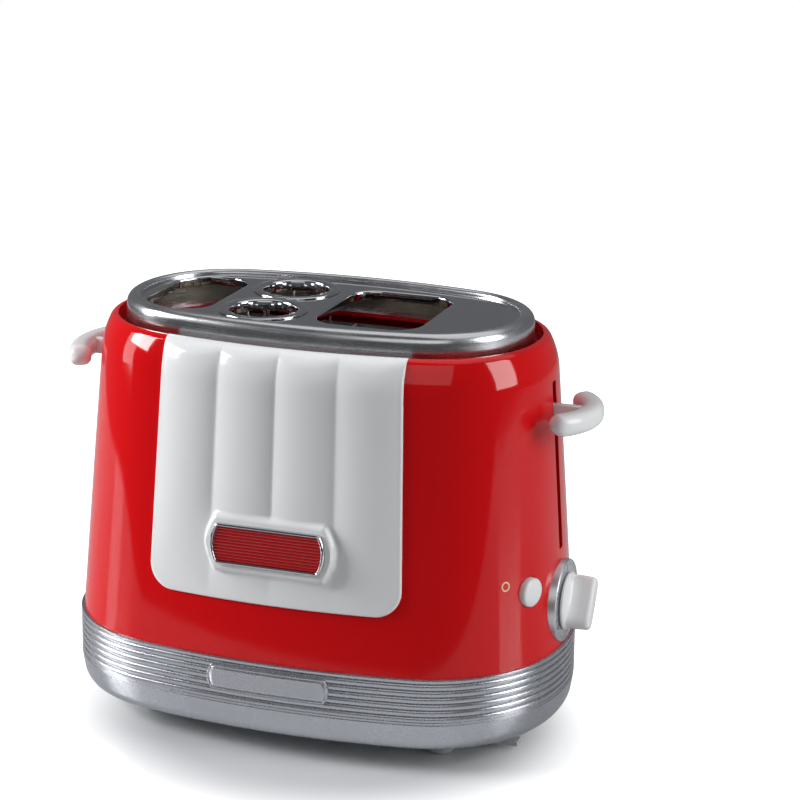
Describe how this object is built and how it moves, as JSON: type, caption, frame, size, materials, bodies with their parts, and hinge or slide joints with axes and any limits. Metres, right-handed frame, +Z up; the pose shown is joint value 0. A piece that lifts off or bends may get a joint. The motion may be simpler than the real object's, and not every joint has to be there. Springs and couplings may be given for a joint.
{
  "type": "hot dog toaster",
  "caption": "Oval upright toaster with square bun slots, round sausage holes with lift-out cages, two side levers, a timer knob and a pull-out crumb tray.",
  "frame": {"origin": "middle of the footprint on the surface that the feet stand on", "axes": "+X along the length towards the timer knob, +Y towards the back, +Z up"},
  "size_m": [0.2972, 0.1784, 0.226],
  "materials": {
    "red_gloss": "gloss red, lacquered",
    "white_gloss": "gloss white",
    "chrome_trim": "polished chrome",
    "red_badge": "gloss red over ribs",
    "polished_steel": "polished top, satin side",
    "silver_plastic": "satin silver coat",
    "grey_plastic": "matt grey",
    "zinc_steel": "satin zinc",
    "bright_steel": "bright drawn wire",
    "grey_rubber": "matt",
    "black_rubber": "matt",
    "black_plastic": "matt",
    "magnet_iron": "raw",
    "mica_board": "dull mica",
    "green_board": "lacquered board"
  },
  "bodies": {
    "toaster": {"outer_shell": "red_gloss", "front_panel": "white_gloss", "badge_bezel": "chrome_trim", "badge_plate": "red_badge", "top_rim": "polished_steel", "top_plate": "polished_steel", "base_housing": "silver_plastic", "name_plate": "silver_plastic", "bottom_cover": "grey_plastic", "cover_screws": "zinc_steel", "front_left_foot": "grey_rubber", "front_right_foot": "grey_rubber", "back_left_foot": "grey_rubber", "back_right_foot": "grey_rubber", "front_cord_cleat": "grey_plastic", "back_cord_cleat": "grey_plastic", "cord_gland": "black_rubber", "timer_dial": "silver_plastic", "timer_body": "black_plastic", "button_switch": "black_plastic", "left_guide_rods": "bright_steel", "right_guide_rods": "bright_steel", "left_rod_bridge": "zinc_steel", "right_rod_bridge": "zinc_steel", "left_lift_springs": "bright_steel", "right_lift_springs": "bright_steel", "left_latch_magnet": "magnet_iron", "right_latch_magnet": "magnet_iron", "left_end_plate": "zinc_steel", "right_end_plate": "zinc_steel", "left_bun_guard": "bright_steel", "right_bun_guard": "bright_steel", "chassis_floor": "zinc_steel", "front_heat_shield": "zinc_steel", "back_heat_shield": "zinc_steel", "left_outer_board": "mica_board", "left_inner_board": "mica_board", "right_inner_board": "mica_board", "right_outer_board": "mica_board", "circuit_board": "green_board"},
    "knob": {"timer_knob": "white_gloss"},
    "button": {"stop_button": "white_gloss"},
    "left_lift": {"left_lever": "white_gloss", "left_carriage": "zinc_steel", "left_bun_rack": "zinc_steel", "sausage_lift": "zinc_steel"},
    "right_lift": {"right_lever": "white_gloss", "right_carriage": "zinc_steel", "right_bun_rack": "zinc_steel"},
    "front_cage": {"front_cage_collar": "polished_steel", "front_sausage_cage": "bright_steel"},
    "back_cage": {"back_cage_collar": "polished_steel", "back_sausage_cage": "bright_steel"},
    "crumb_drawer": {"crumb_tray": "silver_plastic"}
  },
  "joints": [
    {"name": "left_lever_slide", "type": "slide", "parent": "toaster", "child": "left_lift", "axis": [0, 0, 1], "range_m": [-0.072, 0], "stiffness_N_per_m": 60, "springref_m": 0.035, "deforming": ["left_lift_springs"]},
    {"name": "right_lever_slide", "type": "slide", "parent": "toaster", "child": "right_lift", "axis": [0, 0, 1], "range_m": [-0.062, 0], "stiffness_N_per_m": 60, "springref_m": 0.035, "deforming": ["right_lift_springs"]},
    {"name": "timer_turn", "type": "hinge", "parent": "toaster", "child": "knob", "pos_m": [0.1356, 0, 0.0752], "axis": [1, 0, 0], "range_deg": [-300, 0]},
    {"name": "stop_press", "type": "slide", "parent": "toaster", "child": "button", "axis": [0.9342, -0.3567, 0], "range_m": [-0.0022, 0], "stiffness_N_per_m": 500, "springref_m": 0.001},
    {"name": "front_cage_lift", "type": "slide", "parent": "toaster", "child": "front_cage", "axis": [0, 0, 1], "range_m": [0, 0.14]},
    {"name": "back_cage_lift", "type": "slide", "parent": "toaster", "child": "back_cage", "axis": [0, 0, 1], "range_m": [0, 0.14]},
    {"name": "crumb_drawer_pull", "type": "slide", "parent": "toaster", "child": "crumb_drawer", "axis": [0, 1, 0], "range_m": [0, 0.11]}
  ]
}
